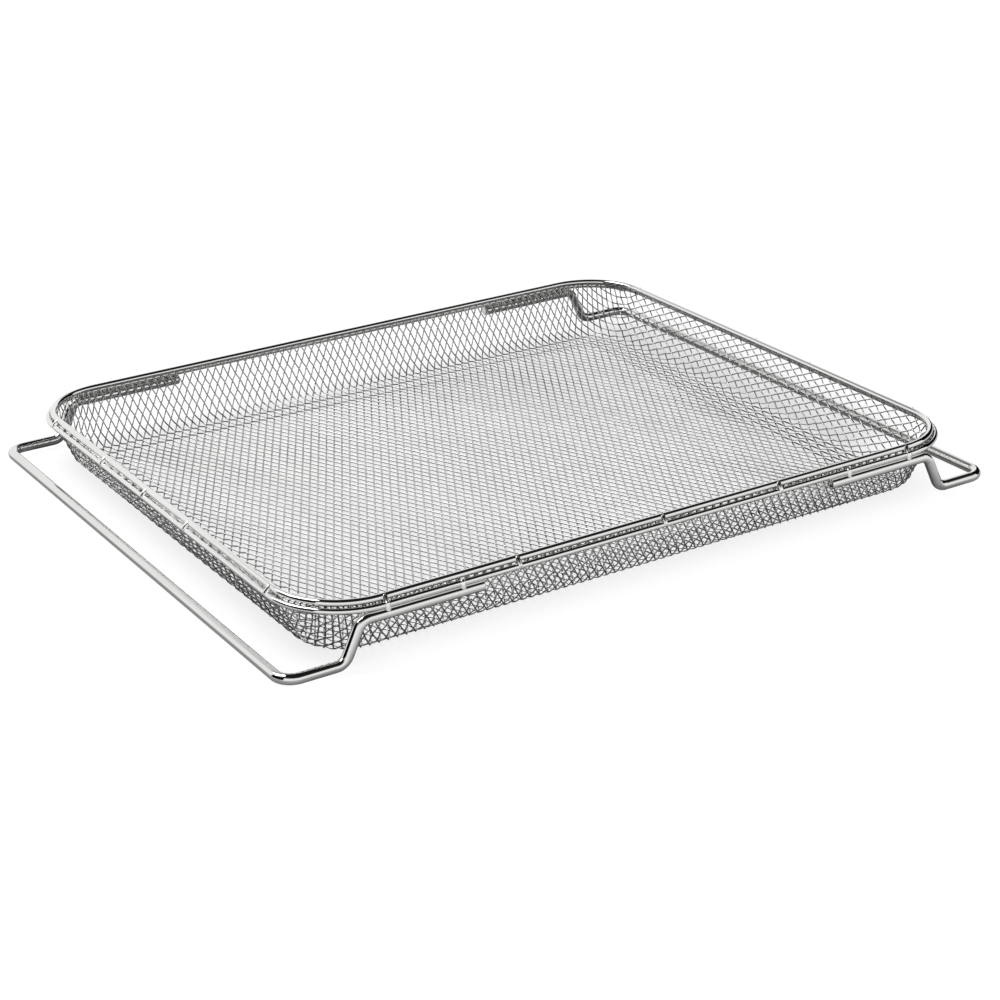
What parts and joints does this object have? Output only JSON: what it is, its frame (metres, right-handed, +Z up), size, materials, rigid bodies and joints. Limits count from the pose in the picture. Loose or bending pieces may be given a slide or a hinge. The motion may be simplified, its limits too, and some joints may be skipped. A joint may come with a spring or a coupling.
{
  "type": "air fryer basket",
  "caption": "Shallow rectangular wire mesh basket with a double wire rim and a bent rod handle at each end, for crisping food in an air fryer oven.",
  "frame": {"origin": "middle of the basket in plan, on the surface that its mesh floor rests on", "axes": "+X along the long sides towards one end handle, +Y across the basket, +Z up out of its open top"},
  "size_m": [0.388, 0.31, 0.03],
  "materials": {
    "woven_wire": "bright drawn stainless wire, woven and pressed",
    "polished_wire": "electropolished stainless wire",
    "polished_rod": "electropolished stainless rod",
    "weld_metal": "electropolished weld beads"
  },
  "bodies": {
    "root": {"mesh_basket": "woven_wire", "upper_rim_wire": "polished_wire", "lower_rim_wire": "polished_wire", "right_handle": "polished_rod", "left_handle": "polished_rod", "rim_weld_right_1": "weld_metal", "rim_weld_right_2": "weld_metal", "rim_weld_right_3": "weld_metal", "rim_weld_right_4": "weld_metal", "rim_weld_right_5": "weld_metal", "rim_weld_back_1": "weld_metal", "rim_weld_back_2": "weld_metal", "rim_weld_back_3": "weld_metal", "rim_weld_back_4": "weld_metal", "rim_weld_back_5": "weld_metal", "rim_weld_left_1": "weld_metal", "rim_weld_left_2": "weld_metal", "rim_weld_left_3": "weld_metal", "rim_weld_left_4": "weld_metal", "rim_weld_left_5": "weld_metal", "rim_weld_front_1": "weld_metal", "rim_weld_front_2": "weld_metal", "rim_weld_front_3": "weld_metal", "rim_weld_front_4": "weld_metal", "rim_weld_front_5": "weld_metal", "leg_weld_right_front_inner": "weld_metal", "leg_weld_right_front_outer": "weld_metal", "leg_weld_left_front_inner": "weld_metal", "leg_weld_left_front_outer": "weld_metal", "leg_weld_right_back_inner": "weld_metal", "leg_weld_right_back_outer": "weld_metal", "leg_weld_left_back_inner": "weld_metal", "leg_weld_left_back_outer": "weld_metal"}
  },
  "joints": []
}
